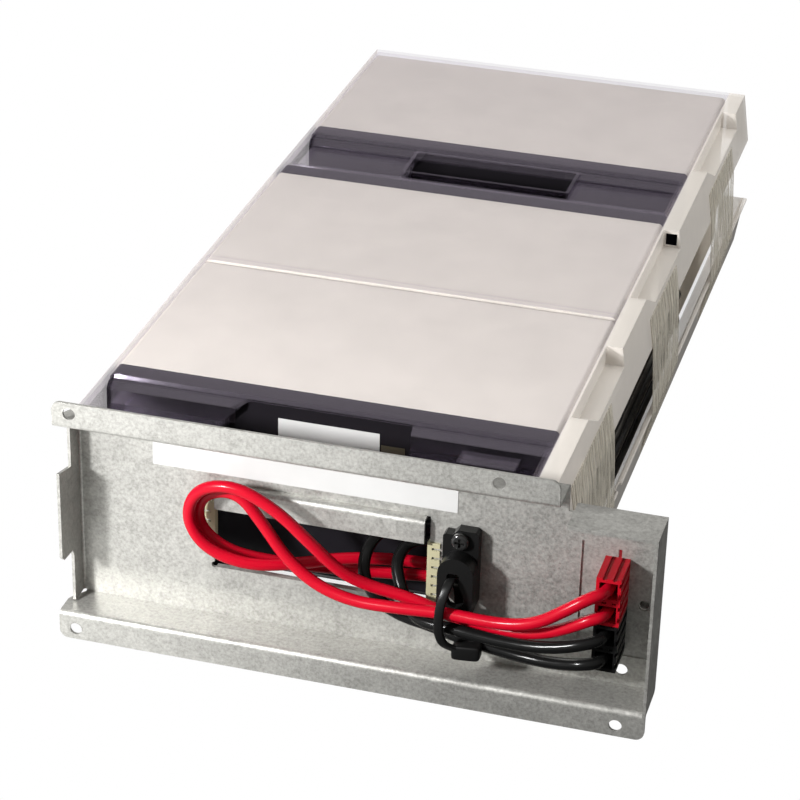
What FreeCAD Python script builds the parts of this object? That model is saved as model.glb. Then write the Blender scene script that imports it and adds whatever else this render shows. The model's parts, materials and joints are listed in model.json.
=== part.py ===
import FreeCAD, Part
import math
import os
import re

import Sketcher

# A battery cartridge for a rack power unit: three sealed batteries lie in a row inside
# a pair of clear formed shells, behind a folded steel bracket that carries the power
# connectors and the leads. X runs across, Y from front to back, Z up, in millimetres.
# The sizes below are laid out from the front plate's face (Y = 0), the left side of the
# batteries (X = 0) and the bottom edge of the lower lip (Z = 0). Every sub-part is then
# placed so that the origin is the centre of the bottom of the whole.

SIZES = {
    # folded bracket
    "gauge": 1.0,                # thickness of the steel
    "bend": 0.8,                 # inner radius of a fold
    "fold_depth": 14.7,          # from the plate's face to the face of the lips
    "lip_left": -3.25,           # left end of both lips
    "bracket_margin": 10.75,     # from the connectors to the right flange's outer face
    "floor_top": 9.9,            # top face of the lower fold
    "plate_top": 79.5,           # top face of the upper fold
    "lip_top": 88.0,             # top edge of the upper lip
    "upper_margin": 11.2,        # from the batteries to the right end of the upper lip
    "relief": 2.5,               # gap between the two upper folds
    "relief_drop": 3.0,          # how far that gap runs below the lower fold
    "shelf_top": 72.8,           # top face of the short fold at the right
    "lip_round": 3.0,            # corners of the lips
    "lip_hole_radius": 2.1,
    "upper_hole_left": 2.7,
    "upper_hole_inset": 19.1,    # from the right end of the upper lip
    "upper_hole_height": 84.2,
    "lower_hole_left": 2.4,
    "lower_hole_inset": 9.35,    # from the right flange's outer face
    "lower_hole_height": 3.9,
    "side_face": -0.2,           # inner face of the left flange
    "corner": 0.6,               # relief where three folds meet
    "side_depth": 7.5,           # depth of the left flange
    "hook_depth": 17.3,          # reach of the hook on the left flange
    "hook_low": 30.4,
    "hook_high": 61.0,
    # window in the plate, with its hems and edge strips
    "window_left": 45.8,
    "window_right": 118.2,
    "window_low": 28.5,
    "window_high": 58.8,
    "hem_stand": 3.2,            # how far the upper hem stands out
    "hem_drop": 8.5,             # height of the upper hem
    "hem_gap": 0.2,              # air behind the flattened lower hem
    "flap_drop": 8.8,            # height of the lower hem
    "hem_inset": 1.2,            # relief beside each end of the upper hem
    "strip_reach": 3.4,          # how far an edge strip covers the plate
    "strip_wall": 0.7,
    "strip_high_left": 52.6,
    "strip_high_right": 50.6,
    "strip_lift": 3.6,           # the left strip starts this much higher
    "strip_pitch": 3.35,
    "strip_slot": 0.9,
    # raised field round the connectors
    "field_margin": 7.6,
    "field_low": 20.6,
    "field_high": 60.4,
    "field_depth": 0.6,
    "slit_width": 1.1,
    "slit_height": 2.8,
    "pin_hole_radius": 1.9,
    "pin_hole_inset": 5.55,      # from the right flange's outer face
    "pin_hole_height": 39.8,
    "drain_hole_radius": 2.1,
    "drain_hole_step": 7.4,      # from the connectors' left side
    "drain_hole_height": 15.3,
    # labels
    "label_skin": 0.15,
    "label_left": 25.2,
    "label_right": 126.8,
    "label_low": 62.7,
    "label_high": 77.3,
    # saddle, screw and tie
    "saddle_left": 123.3,
    "saddle_width": 11.6,
    "saddle_low": 32.4,
    "loop_high": 51.7,           # top of the saddle's round-headed loop
    "loop_depth": 10.0,
    "loop_wall": 2.6,
    "loop_side": 1.6,
    "hollow_high": 47.0,
    "tab_high": 58.8,            # top of the tab that the screw holds
    "tab_shoulder": 57.0,
    "tab_depth": 4.0,
    "eye_left": 126.4,
    "eye_width": 6.0,
    "eye_low": 34.0,
    "eye_high": 46.3,
    "screw_across": 129.2,
    "screw_height": 55.4,
    "screw_radius": 1.7,
    "screw_head": 2.9,
    "screw_thick": 2.2,
    "nut_radius": 3.0,
    "nut_length": 4.6,
    "nut_bore": 1.5,
    "tie_left": 119.7,
    "tie_width": 2.8,
    "tie_tilt": 9.5,             # degrees that the band leans to the right
    "tie_skin": 1.0,
    "tie_low": 17.2,
    "tie_high": 45.6,
    "tie_front": -16.4,
    "tie_back": -3.0,
    "tie_head_left": 130.0,
    "tie_head_width": 8.6,
    "frame_front": 18.0,         # the frame counts the leads as standing out this far
    # power connectors
    "plug_gap": 11.8,            # between the tray's rim and the connectors
    "plug_width": 7.9,
    "plug_pitch": 8.4,
    "plug_low": 22.3,
    "plug_front": -13.2,
    "plug_length": 24.6,
    "plug_rib": 0.6,
    "plug_mouth": 5.8,
    "plug_mouth_depth": 8.0,
    "plug_socket_depth": 9.0,
    "blade_width": 4.6,
    "blade_skin": 1.2,
    "blade_reach": 5.0,          # the blade's end from the rear of the housing
    # leads
    "lead_radius": 2.0,
    # batteries
    "battery_width": 151.0,
    "battery_thick": 65.0,
    "case_depth": 84.0,
    "lid_depth": 12.0,
    "lid_band": 8.0,             # part of the lid that is flush with the case
    "lid_step": 1.6,
    "lid_slope": 2.0,
    "lid_side": 0.3,
    "battery_low": 13.0,
    "front_gap": 23.0,           # from the plate's face to the first lid
    "seam_gap": 2.0,             # between the two battery bottoms
    "channel_gap": 26.0,         # between the two facing lids
    "case_round": 1.6,
    "well_left": 42.0,
    "well_right": 104.8,
    "well_low": 56.0,
    "well_slope": 8.0,
    "well_depth": 3.2,
    "lid_label_left": 59.0,
    "lid_label_right": 93.5,
    "tab_inset": 17.0,           # spade tab from the end of the lid
    "tab_height": 17.0,          # spade tab from the battery's lower side
    "tab_width": 6.3,
    "tab_skin": 0.8,
    "tab_reach": 6.4,
    "sleeve_width": 9.0,
    "sleeve_height": 11.0,
    "sleeve_depth": 9.0,
    "sleeve_wall": 1.2,
    # clear shells
    "shell_skin": 0.8,
    "shell_left": -0.9,
    "shell_front": 1.0,
    "cover_gap": 1.2,            # from the batteries to the shoulder's inner side
    "shoulder": 7.2,             # from the batteries to the shoulder's outer edge
    "wall_lean": 3.0,
    "cover_edge": 59.0,          # lower edge of the cover
    "end_gap": 5.0,              # from the last battery to the tray's end
    "terrace_drop": 8.8,
    "cheek": 2.6,
    "box_inset": 28.4,
    "box_width": 19.4,
    "box_front": 12.0,
    "box_depth": 8.0,
    "box_high": 4.0,
    "seam_rib": 1.5,
    "seam_rib_high": 0.9,
    "trench_drop": 4.0,
    "collar_left": 46.0,
    "collar_right": 109.6,
    "collar_front": 223.0,
    "collar_back": 242.0,
    "collar_high": 3.0,
    "collar_wall": 1.4,
    # dips in the cover's right shoulder
    "dip_inset": 0.4,
    "dip_drop": 6.8,
    "dip_ramp": 13.2,
    "dip_first": 20.7,           # from the first lid to the first dip
    "dip_first_end": 22.5,       # from that dip's end to the seam
    "dip_second": 17.4,
    "dip_second_end": 18.5,
    "dip_third": 14.0,
    "dip_third_end": 23.0,
    "port_inset": 1.1,
    "port_rise": 0.6,
    # tray
    "tray_shelf": 10.8,          # from the batteries to the tray's outer edge
    "tray_edge": 32.5,
    "tray_lean": 3.1,
    "tray_gate": 26.0,           # lower edge of the opening in the tray's front
    "rim_reach": 1.0,
    "rim_high": 1.2,
    "rim_left_reach": 2.2,
    "rim_front": 8.0,
    "rim_break": 6.0,
    "rim_break_first": 35.0,     # from the seam forward to the rim's first break
    "rim_break_second": 31.0,    # from the second lid forward to its second break
    # clear tape
    "tape_skin": 0.25,
    "tape_gap": 0.15,
    "tape_high": 70.0,
    "tape_low": 16.0,
    "tape_front_start": 9.0,     # from the first lid forward to the front tape
    "tape_front_width": 60.0,
    "tape_middle_start": 20.0,   # from the seam back to the middle tape
    "tape_middle_width": 48.0,
    "tape_rear_start": 13.0,     # from the third lid back to the rear tape
    "tape_rear_width": 50.0,
    # side leads
    "side_space": 3.6,           # from the batteries to the middle of a side lead
    "side_upper": 42.3,
    "side_lower": 30.3,
    "link_space": 3.0,
    "link_height": 20.0,
}

# Sizes that follow from those above.
FOLLOWING = {
    "plug_left": "battery_width + tray_shelf + rim_reach + plug_gap",
    "bracket_right": "plug_left + plug_width + bracket_margin",
    "upper_right": "battery_width + upper_margin",
    "upper_hole_pitch": "upper_right - upper_hole_left - upper_hole_inset",
    "lower_hole_pitch": "bracket_right - lower_hole_left - lower_hole_inset",
    "field_left": "plug_left - field_margin",
    "pin_hole_across": "bracket_right - pin_hole_inset",
    "drain_hole_across": "plug_left + drain_hole_step",
}

document = FreeCAD.newDocument("battery_cartridge")
sheet = document.addObject("Spreadsheet::Sheet", "sizes")
cells = dict(SIZES)
cells.update((alias, "=" + formula) for alias, formula in FOLLOWING.items())
for row, (alias, value) in enumerate(cells.items(), start=1):
    sheet.set("A%d" % row, alias)
    sheet.set("B%d" % row, str(value))
    sheet.setAlias("B%d" % row, alias)
document.recompute()

NODES = []
WORD = re.compile(r"[a-z][a-z_]*")


def bound(formula):
    """The formula with each alias written as the document's expressions need it."""
    def prefix(match):
        word = match.group()
        return "sizes." + word if word in cells else word
    return WORD.sub(prefix, str(formula))


def number(formula):
    """The value that a formula has now."""
    return float(sheet.evalExpression(bound(formula)))


# Places worked out from the sizes above.
CENTRE_ACROSS = "(lip_left + bracket_right) / 2"
BATTERY_TOP = "(battery_low + battery_thick)"
COVER_TOP = "(battery_low + battery_thick + shell_skin)"
SEAM = "(front_gap + lid_depth + case_depth + seam_gap / 2)"
SECOND_LID = "(front_gap + 2 * lid_depth + 2 * case_depth + seam_gap)"
THIRD_LID = "(front_gap + 2 * lid_depth + 2 * case_depth + seam_gap + channel_gap)"
STACK_END = "(%s + lid_depth + case_depth)" % THIRD_LID
TRAY_END = "(%s + end_gap)" % STACK_END
SHELL_END = "(%s - shell_skin)" % TRAY_END
CENTRE_ALONG = "(%s - frame_front) / 2" % TRAY_END
SHOULDER_IN = "(battery_width + cover_gap)"
SHOULDER_OUT = "(battery_width + shoulder)"
TRAY_RIGHT = "(battery_width + tray_shelf)"
LIP_FACE = "(0 - fold_depth)"
LIP_BACK = "(gauge - fold_depth)"
PLUG_TOP = "(plug_low + 4 * plug_pitch)"


def place(thing):
    """Move a finished sub-part from the layout's zero to the part's origin."""
    thing.setExpression("Placement.Base.x", bound("0 - " + CENTRE_ACROSS))
    thing.setExpression("Placement.Base.y", bound("0 - " + CENTRE_ALONG))


def keep(thing, label):
    """List a finished sub-part under its own name."""
    thing.Label = label
    NODES.append(thing)
    return thing


def new_body(label):
    body = document.addObject("PartDesign::Body", label)
    place(body)
    return keep(body, label)


def new_sketch(body, role, offset):
    """A sketch on one of the body's origin planes, moved along its normal."""
    sketch = body.newObject("Sketcher::SketchObject", "outline")
    plane = [feature for feature in body.Origin.OriginFeatures if feature.Role == role][0]
    sketch.AttachmentSupport = [(plane, "")]
    sketch.MapMode = "FlatFace"
    sketch.setExpression("AttachmentOffset.Base.z", bound(offset))
    return sketch


def pin(sketch, geometry, end, across, up):
    """Hold one point of the sketch at two formulas."""
    for kind, formula in (("DistanceX", across), ("DistanceY", up)):
        value = number(formula)
        index = sketch.addConstraint(Sketcher.Constraint(kind, -1, 1, geometry, end, value))
        sketch.setExpression("Constraints[%d]" % index, bound(formula))


def draw(sketch, points):
    """A closed outline of straight lines through the points."""
    count = len(points)
    spots = [FreeCAD.Vector(number(across), number(up), 0) for across, up in points]
    first = sketch.GeometryCount
    for index in range(count):
        line = Part.LineSegment(spots[index], spots[(index + 1) % count])
        sketch.addGeometry(line, False)
    for index in range(count):
        following = first + (index + 1) % count
        sketch.addConstraint(
            Sketcher.Constraint("Coincident", first + index, 2, following, 1))
    for index, (across, up) in enumerate(points):
        pin(sketch, first + index, 1, across, up)


def draw_circle(sketch, across, up, radius):
    centre = FreeCAD.Vector(number(across), number(up), 0)
    circle = Part.Circle(centre, FreeCAD.Vector(0, 0, 1), number(radius))
    index = sketch.addGeometry(circle, False)
    pin(sketch, index, 3, across, up)
    ring = sketch.addConstraint(Sketcher.Constraint("Radius", index, number(radius)))
    sketch.setExpression("Constraints[%d]" % ring, bound(radius))


def draw_all(sketch, shapes):
    for shape in shapes:
        if isinstance(shape, tuple):
            draw_circle(sketch, *shape)
        else:
            draw(sketch, shape)


# The normal of XZ_Plane points to -Y, so a pad from it grows towards the front.
def pad(body, role, shapes, start, end):
    """Add the outline between two offsets along the plane's axis."""
    offset = "0 - (%s)" % end if role == "XZ_Plane" else start
    sketch = new_sketch(body, role, offset)
    draw_all(sketch, shapes)
    feature = body.newObject("PartDesign::Pad", "pad")
    feature.Profile = sketch
    feature.setExpression("Length", bound("(%s) - (%s)" % (end, start)))
    body.Tip = feature
    return feature


def pocket(body, role, shapes, start, end):
    """Remove the outline between two offsets along the plane's axis."""
    offset = "0 - (%s)" % start if role == "XZ_Plane" else end
    sketch = new_sketch(body, role, offset)
    draw_all(sketch, shapes)
    feature = body.newObject("PartDesign::Pocket", "pocket")
    feature.Profile = sketch
    feature.setExpression("Length", bound("(%s) - (%s)" % (end, start)))
    body.Tip = feature
    return feature


def rectangle(left, right, low, high):
    return [(left, low), (right, low), (right, high), (left, high)]


def nearest_edges(shape, spots):
    """Names of the edges that pass nearest to each (x, y, z) formula."""
    names = []
    for spot in spots:
        point = Part.Vertex(*[number(formula) for formula in spot])
        distances = [edge.distToShape(point)[0] for edge in shape.Edges]
        name = "Edge%d" % (distances.index(min(distances)) + 1)
        if name not in names:
            names.append(name)
    return names


def blend(body, kind, size, spots):
    """Fillet or chamfer the edges nearest to the given spots."""
    document.recompute()
    base = body.Tip
    feature = body.newObject("PartDesign::" + kind, kind.lower())
    feature.Base = (base, nearest_edges(base.Shape, spots))
    feature.setExpression("Radius" if kind == "Fillet" else "Size", bound(size))
    body.Tip = feature
    return feature


def round_each(body, radius, spots):
    """Fillet the edges near the spots one after another."""
    for spot in spots:
        blend(body, "Fillet", radius, [spot])


# ---------------------------------------------------------------- folded bracket
def make_bracket():
    body = new_body("front_bracket")
    plate = [
        ("side_face - gauge", "floor_top - gauge"),
        ("bracket_right", "floor_top - gauge"),
        ("bracket_right", "shelf_top"),
        ("upper_right + relief", "shelf_top"),
        ("upper_right + relief", "shelf_top - relief_drop"),
        ("upper_right", "shelf_top - relief_drop"),
        ("upper_right", "plate_top"),
        ("side_face - gauge", "plate_top"),
    ]
    pad(body, "XZ_Plane", [plate], "0", "gauge")
    upper_fold = [
        ("gauge", "plate_top - gauge"), ("gauge", "plate_top"), (LIP_BACK, "plate_top"),
        (LIP_BACK, "lip_top"), (LIP_FACE, "lip_top"), (LIP_FACE, "plate_top - gauge"),
    ]
    pad(body, "YZ_Plane", [upper_fold], "lip_left", "upper_right")
    lower_fold = [
        ("gauge", "floor_top - gauge"), ("gauge", "floor_top"), (LIP_FACE, "floor_top"),
        (LIP_FACE, "0"), (LIP_BACK, "0"), (LIP_BACK, "floor_top - gauge"),
    ]
    pad(body, "YZ_Plane", [lower_fold], "lip_left", "bracket_right")
    pad(body, "XY_Plane",
        [rectangle("upper_right + relief", "bracket_right", LIP_FACE, "gauge")],
        "shelf_top - gauge", "shelf_top")
    pad(body, "YZ_Plane", [rectangle(LIP_FACE, "gauge", "floor_top - gauge", "shelf_top")],
        "bracket_right - gauge", "bracket_right")
    # Window with a standing hem above and a flattened one below.
    pocket(body, "XZ_Plane",
           [rectangle("window_left", "window_right", "window_low", "window_high")],
           "0", "gauge")
    pocket(body, "XZ_Plane", [("window_left", "window_low", "gauge")], "0", "gauge")
    pocket(body, "XZ_Plane", [("window_right", "window_low", "gauge")], "0", "gauge")
    for left, right in (("window_left", "window_left + hem_inset"),
                        ("window_right - hem_inset", "window_right")):
        pocket(body, "XZ_Plane",
               [rectangle(left, right, "window_high - 1", "window_high + gauge")],
               "0", "gauge")
    upper_hem = [
        ("gauge / 2", "window_high"), ("gauge / 2", "window_high + gauge"),
        ("0 - hem_stand", "window_high + gauge"),
        ("0 - hem_stand", "window_high + gauge - hem_drop"),
        ("gauge - hem_stand", "window_high + gauge - hem_drop"),
        ("gauge - hem_stand", "window_high"),
    ]
    pad(body, "YZ_Plane", [upper_hem], "window_left + hem_inset", "window_right - hem_inset")
    lower_hem = [
        ("gauge / 2", "window_low - gauge"), ("gauge / 2", "window_low"),
        ("0 - hem_gap - gauge", "window_low"),
        ("0 - hem_gap - gauge", "window_low - flap_drop"),
        ("0 - hem_gap", "window_low - flap_drop"), ("0 - hem_gap", "window_low - gauge"),
    ]
    pad(body, "YZ_Plane", [lower_hem], "window_left + gauge", "window_right - gauge")
    # Field pressed back round the connectors, with the opening for their housings.
    field = rectangle("field_left", "bracket_right - gauge", "field_low", "field_high")
    pad(body, "XZ_Plane", [field], "gauge", "gauge + field_depth")
    pocket(body, "XZ_Plane", [field], "0", "field_depth")
    plug_hole = rectangle("plug_left", "plug_left + plug_width", "plug_low", PLUG_TOP)
    pocket(body, "XZ_Plane", [plug_hole], "0", "gauge + field_depth")
    slit = rectangle("plug_left + plug_width / 2", "plug_left + plug_width / 2 + slit_width",
                     PLUG_TOP, PLUG_TOP + " + slit_height")
    pocket(body, "XZ_Plane", [slit], "0", "gauge + field_depth")
    plate_holes = [
        ("pin_hole_across", "pin_hole_height", "pin_hole_radius"),
        ("drain_hole_across", "drain_hole_height", "drain_hole_radius"),
        ("screw_across", "screw_height", "screw_radius"),
    ]
    pocket(body, "XZ_Plane", plate_holes, "0", "gauge + field_depth")
    lip_holes = [
        ("upper_hole_left", "upper_hole_height", "lip_hole_radius"),
        ("upper_hole_left + upper_hole_pitch", "upper_hole_height", "lip_hole_radius"),
        ("lower_hole_left", "lower_hole_height", "lip_hole_radius"),
        ("lower_hole_left + lower_hole_pitch", "lower_hole_height", "lip_hole_radius"),
    ]
    pocket(body, "XZ_Plane", lip_holes, LIP_FACE, LIP_BACK)
    lip_middle = "gauge / 2 - fold_depth"
    round_each(body, "lip_round", [
        ("lip_left", lip_middle, "lip_top"), ("upper_right", lip_middle, "lip_top"),
        ("lip_left", lip_middle, "0"), ("bracket_right", lip_middle, "0"),
    ])
    # The folds: small radius inside, one gauge more outside.
    across = "upper_hole_left + upper_hole_pitch / 3"
    round_each(body, "bend + gauge", [
        (across, LIP_FACE, "plate_top - gauge"), (across, "gauge", "plate_top"),
        (across, LIP_FACE, "floor_top"), (across, "gauge", "floor_top - gauge"),
        (across, "0 - hem_stand", "window_high + gauge"),
    ])
    round_each(body, "bend", [
        (across, LIP_BACK, "plate_top"), (across, LIP_BACK, "floor_top - gauge"),
    ])
    # Corner reliefs at the left, then the flange with its hook between them.
    for low, high, edge_low, edge_high in (
            ("plate_top - gauge - corner", "plate_top", "plate_top - gauge", "plate_top"),
            ("floor_top - gauge", "floor_top + corner", "floor_top - gauge", "floor_top")):
        pocket(body, "XZ_Plane", [rectangle("lip_left", "side_face + bend", low, high)],
               "0 - corner", "gauge")
        slope = [
            ("lip_left", "0 - corner"), ("side_face + bend", "0 - corner"),
            ("lip_left + 1.2", "0 - corner - 3.4"), ("lip_left", "0 - corner - 6"),
        ]
        pocket(body, "XY_Plane", [slope], edge_low, edge_high)
    hooked_flange = [
        ("gauge", "floor_top + corner"), ("gauge", "plate_top - gauge - corner"),
        ("0 - side_depth", "plate_top - gauge - corner"), ("0 - side_depth", "hook_high"),
        ("0 - hook_depth", "hook_high + 2.3"), ("0 - hook_depth", "hook_low + 1.6"),
        ("1.8 - hook_depth", "hook_low"), ("0 - side_depth - 1", "hook_low - 0.4"),
        ("0 - side_depth", "hook_low - 2.8"), ("0 - side_depth", "floor_top + corner"),
    ]
    pad(body, "YZ_Plane", [hooked_flange], "side_face - gauge", "side_face")
    round_each(body, "bend + gauge", [("side_face - gauge", "gauge", "plate_top / 2")])
    round_each(body, "bend", [("side_face", "0", "plate_top / 2")])
    return body


def make_edge_strip(label, edge, side, low, high):
    """A U-shaped strip on one upright edge of the window, cut into teeth."""
    body = new_body(label)
    tip = "%s - (%d) * strip_wall" % (edge, side)
    root = "%s + (%d) * strip_reach" % (edge, side)
    profile = [
        (root, "0 - strip_wall"), (tip, "0 - strip_wall"), (tip, "gauge + strip_wall"),
        (root, "gauge + strip_wall"), (root, "gauge"), (edge, "gauge"), (edge, "0"),
        (root, "0"),
    ]
    if side > 0:
        profile.reverse()
    pad(body, "XY_Plane", [profile], low, high)
    near = "%s + (%d) * 0.8" % (edge, side)
    slot = rectangle(*sorted([near, root], key=number), "%s + strip_pitch / 2" % low,
                     "%s + strip_pitch / 2 + strip_slot" % low)
    cut = pocket(body, "XZ_Plane", [slot], "0 - strip_wall", "0")
    document.recompute()
    rows = body.newObject("PartDesign::LinearPattern", "teeth")
    rows.Originals = [cut]
    upright = [f for f in body.Origin.OriginFeatures if f.Role == "Z_Axis"][0]
    rows.Direction = (upright, [""])
    span = "(%s) - (%s) - strip_pitch" % (high, low)
    count = int(number(span) // number("strip_pitch")) + 1
    rows.Occurrences = count
    rows.setExpression("Length", bound("strip_pitch * %d" % (count - 1)))
    body.Tip = rows
    return body


def make_plate_label():
    body = new_body("plate_label")
    pad(body, "XZ_Plane",
        [rectangle("label_left", "label_right", "label_low", "label_high")],
        "0 - label_skin", "0")
    return body


# ---------------------------------------------------------------- saddle, screw and tie
def make_saddle():
    """A round-headed loop, open behind, below the tab that its screw holds."""
    body = new_body("cable_saddle")
    right = "(saddle_left + saddle_width)"
    middle = "(saddle_left + saddle_width / 2)"
    spring = "(loop_high - saddle_width / 2)"
    tab = [
        ("saddle_left", spring), (right, spring), (right, "tab_high - 1"),
        (right + " - 1", "tab_high"), (middle + " - 1", "tab_high"),
        (middle + " - 2.6", "tab_shoulder"), ("saddle_left + 0.8", "tab_shoulder"),
        ("saddle_left", "tab_shoulder - 0.8"),
    ]
    pad(body, "XZ_Plane", [tab], "0 - tab_depth", "0")
    pad(body, "XZ_Plane", [(middle, spring, "saddle_width / 2")], "0 - loop_depth", "0")
    pad(body, "XZ_Plane", [rectangle("saddle_left", right, "saddle_low", spring)],
        "0 - loop_depth", "0")
    # The eye narrows towards its top like a drop.
    low_middle = "(eye_left + eye_width / 2)"
    eye = [
        ("eye_left", "eye_low + 2.8"), ("eye_left + 0.9", "eye_low + 0.8"),
        (low_middle, "eye_low"), ("eye_left + eye_width - 0.9", "eye_low + 0.8"),
        ("eye_left + eye_width", "eye_low + 2.8"),
        ("eye_left + eye_width - 0.5", "eye_low + 5"),
        ("eye_left + eye_width - 1.8", "eye_low + 7.6"),
        ("eye_left + eye_width - 2.0", "eye_high - 0.6"),
        ("eye_left + eye_width - 2.6", "eye_high"), ("eye_left + 0.6", "eye_high"),
        ("eye_left", "eye_high - 0.8"),
    ]
    pocket(body, "XZ_Plane", [eye], "0 - loop_depth", "0")
    hollow = rectangle("saddle_left + loop_side", right + " - loop_side", "saddle_low",
                       "hollow_high")
    pocket(body, "XZ_Plane", [hollow], "loop_wall - loop_depth", "0")
    pocket(body, "XZ_Plane", [("screw_across", "screw_height", "screw_radius")],
           "0 - tab_depth", "0")
    return body


def make_screw():
    body = new_body("saddle_screw")
    seat, face = "(0 - tab_depth)", "(0 - tab_depth - screw_thick)"
    pad(body, "XZ_Plane", [("screw_across", "screw_height", "screw_head")], face, seat)
    pad(body, "XZ_Plane", [("screw_across", "screw_height", "screw_radius")],
        seat, "gauge + 3")
    arm = "screw_head * 0.56"
    cross = rectangle("screw_across - 0.4", "screw_across + 0.4",
                      "screw_height - " + arm, "screw_height + " + arm)
    pocket(body, "XZ_Plane", [cross], face, face + " + 1.2")
    bar = rectangle("screw_across - " + arm, "screw_across + " + arm,
                    "screw_height - 0.4", "screw_height + 0.4")
    pocket(body, "XZ_Plane", [bar], face, face + " + 1.2")
    round_each(body, "1.0", [("screw_across", face, "screw_height + screw_head")])
    return body


def make_press_nut():
    """The nut that is pressed on behind the plate's threaded hole, closed at its end."""
    body = new_body("press_nut")
    rear = "gauge + field_depth"
    pad(body, "XZ_Plane", [("pin_hole_across", "pin_hole_height", "nut_radius")],
        rear, rear + " + nut_length")
    pocket(body, "XZ_Plane", [("pin_hole_across", "pin_hole_height", "nut_bore")],
           rear, rear + " + nut_length - 1")
    return body


def make_tie():
    """A flat band round the leads and the saddle's lower bar, with its locking head."""
    body = new_body("cable_tie")

    def ring(inset):
        front, back = "(tie_front + %s)" % inset, "(tie_back - %s)" % inset
        low, high = "(tie_low + %s)" % inset, "(tie_high - %s)" % inset
        return [
            (front, high + " - 7.2"), (front, low + " + 8.4"),
            (front + " + 1.8", low + " + 3.2"), (front + " + 5.6", low),
            (back + " - 1.8", low), (back, low + " + 2"), (back, high + " - 1.8"),
            (back + " - 1.8", high), (back + " - 7.2", high), (front + " + 2.2", high + " - 2.3"),
        ]
    band = pad(body, "YZ_Plane", [ring("0"), ring("tie_skin")], "tie_left",
               "tie_left + tie_width")
    sketch = band.Profile[0]
    sketch.setExpression("AttachmentOffset.Rotation.Axis.x", "1")
    sketch.setExpression("AttachmentOffset.Rotation.Axis.z", "0")
    sketch.setExpression("AttachmentOffset.Rotation.Angle", bound("tie_tilt"))
    head_right = "(tie_head_left + tie_head_width)"
    head = [
        ("tie_left + 4.4", "tie_low + 1.2"), ("tie_head_left", "tie_low + 0.8"),
        ("tie_head_left + 1", "tie_low - 0.2"), (head_right + " - 0.8", "tie_low"),
        (head_right, "tie_low + 1.6"), (head_right + " - 0.6", "tie_low + 5.2"),
        ("tie_head_left + 1", "tie_low + 5.4"), ("tie_head_left - 2", "tie_low + 3.6"),
        ("tie_left + 4.4", "tie_low + 3.4"),
    ]
    pad(body, "XZ_Plane", [head], "tie_front + 1.3", "tie_front + 5.8")
    return body


# ---------------------------------------------------------------- power connectors
def make_plug(label, level):
    body = new_body(label)
    low = "(plug_low + %d * plug_pitch)" % level
    right = "(plug_left + plug_width)"
    rear = "(plug_front + plug_length)"
    high = "(%s + plug_pitch)" % low
    section = [
        ("plug_left", low), (right, low),
        (right, low + " + 1.6"), (right + " - plug_rib", low + " + 1.6"),
        (right + " - plug_rib", low + " + 3.4"), (right, low + " + 3.4"),
        (right, high + " - 2.6"), (right + " - plug_rib", high + " - 2.6"),
        (right + " - plug_rib", high + " - 1.2"), (right, high + " - 1.2"),
        (right, high), (right + " - 1.4", high),
        (right + " - 1.4", high + " - plug_rib"), (right + " - 2.6", high + " - plug_rib"),
        (right + " - 2.6", high), (right + " - 4.4", high),
        (right + " - 4.4", high + " - plug_rib"), (right + " - 5.9", high + " - plug_rib"),
        (right + " - 5.9", high), ("plug_left", high),
    ]
    pad(body, "XZ_Plane", [section], "plug_front", rear)
    inset = "(plug_width - plug_mouth) / 2"
    mouth = rectangle("plug_left + " + inset, right + " - " + inset,
                      low + " + plug_rib + 0.6", low + " + plug_rib + 0.6 + plug_mouth")
    pocket(body, "XZ_Plane", [mouth], "plug_front", "plug_front + plug_mouth_depth")
    pocket(body, "XZ_Plane", [mouth], rear + " - plug_socket_depth", rear)
    middle = "(%s + plug_rib + 0.6 + plug_mouth / 2)" % low
    slot = rectangle("plug_left + (plug_width - blade_width) / 2",
                     "plug_left + (plug_width + blade_width) / 2",
                     middle + " - blade_skin / 2", middle + " + blade_skin / 2")
    pocket(body, "XZ_Plane", [slot], "plug_front + plug_mouth_depth",
           rear + " - plug_socket_depth")
    return body, slot


def make_blade(label, slot):
    """The contact that runs from the end of the lead into the socket."""
    body = new_body(label)
    pad(body, "XZ_Plane", [slot], "plug_front + plug_mouth_depth - 2",
        "plug_front + plug_length - blade_reach")
    return body


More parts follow.
